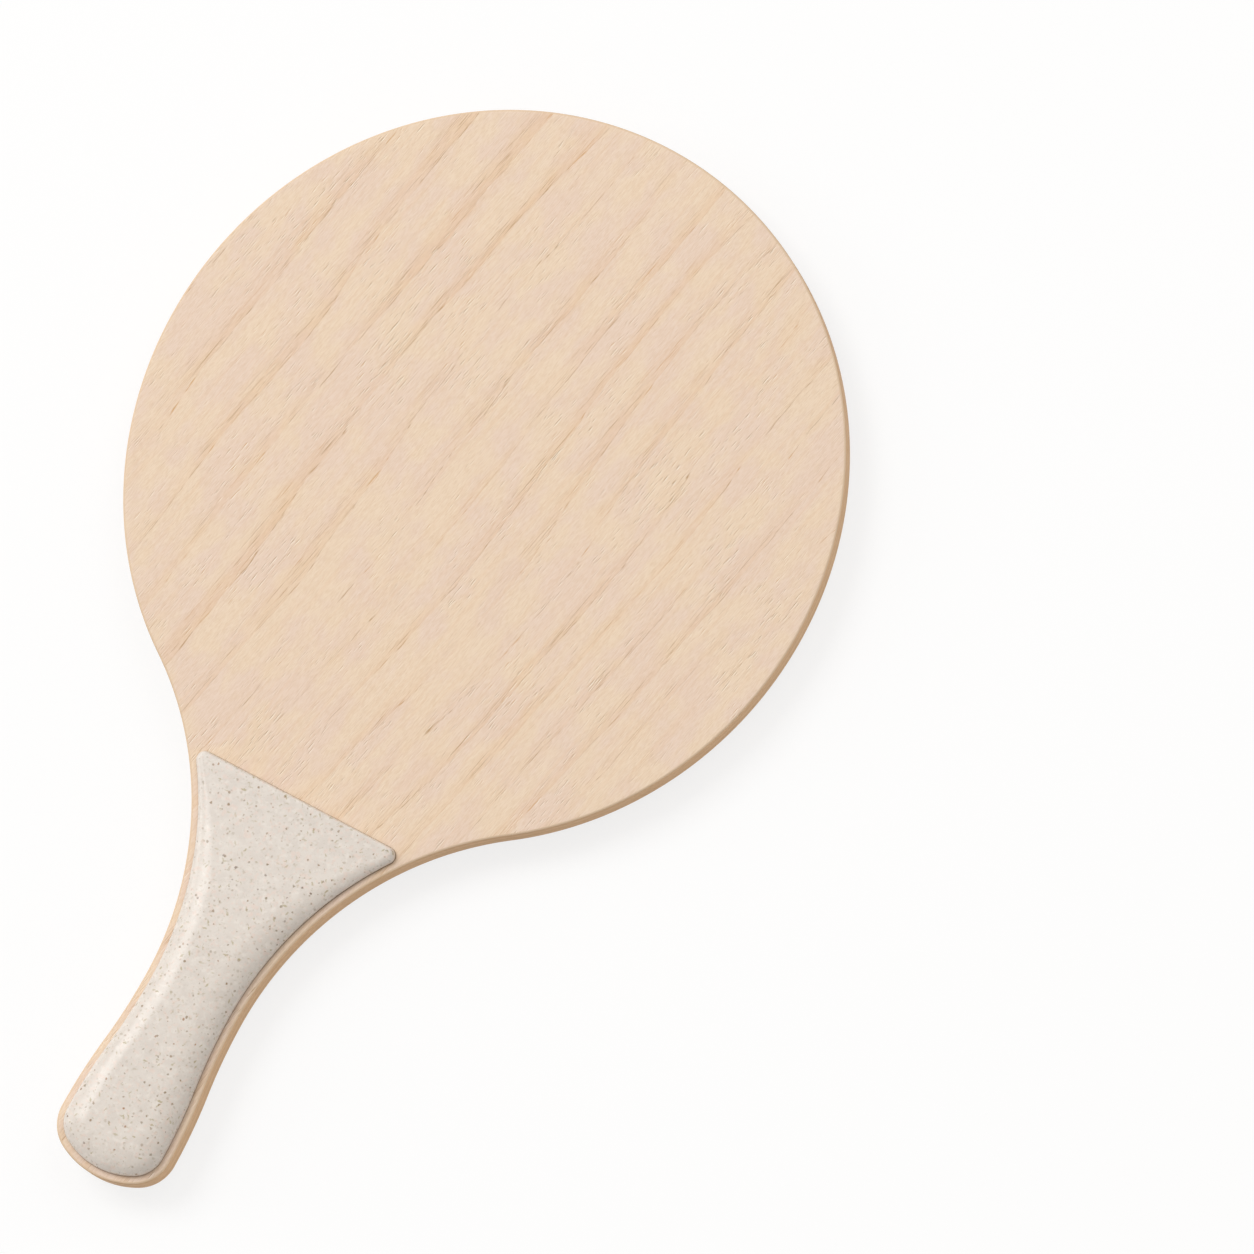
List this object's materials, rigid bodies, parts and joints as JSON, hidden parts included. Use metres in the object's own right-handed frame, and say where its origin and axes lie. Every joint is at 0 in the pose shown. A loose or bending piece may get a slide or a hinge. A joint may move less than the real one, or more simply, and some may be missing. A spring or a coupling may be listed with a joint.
{
  "type": "beach game paddle",
  "caption": "Round-bladed plywood beach paddle whose handle is clad front and rear by moulded half grips pinned through the wood.",
  "frame": {"origin": "under the middle of the paddle's box, on the plane that the rear grip's crown rests on", "axes": "+Y runs along the paddle from the butt to the blade's tip, +X across it, +Z out of its front face"},
  "size_m": [0.236, 0.38, 0.0196],
  "materials": {
    "face_veneer": "sanded pale veneer, bare",
    "crossband": "veneer edge, end grain, bare",
    "core_veneer": "veneer edge, bare",
    "grip_composite": "satin straw-filled plastic with brown flecks",
    "pin_plastic": "plain moulded plastic"
  },
  "bodies": {
    "root": {"front_face_veneer": "face_veneer", "front_crossband": "crossband", "core_veneer": "core_veneer", "rear_crossband": "crossband", "rear_face_veneer": "face_veneer", "front_grip_shell": "grip_composite", "rear_grip_shell": "grip_composite", "grip_pin_fan_left": "pin_plastic", "grip_pin_fan_right": "pin_plastic", "grip_pin_waist": "pin_plastic", "grip_pin_butt": "pin_plastic"}
  },
  "joints": []
}
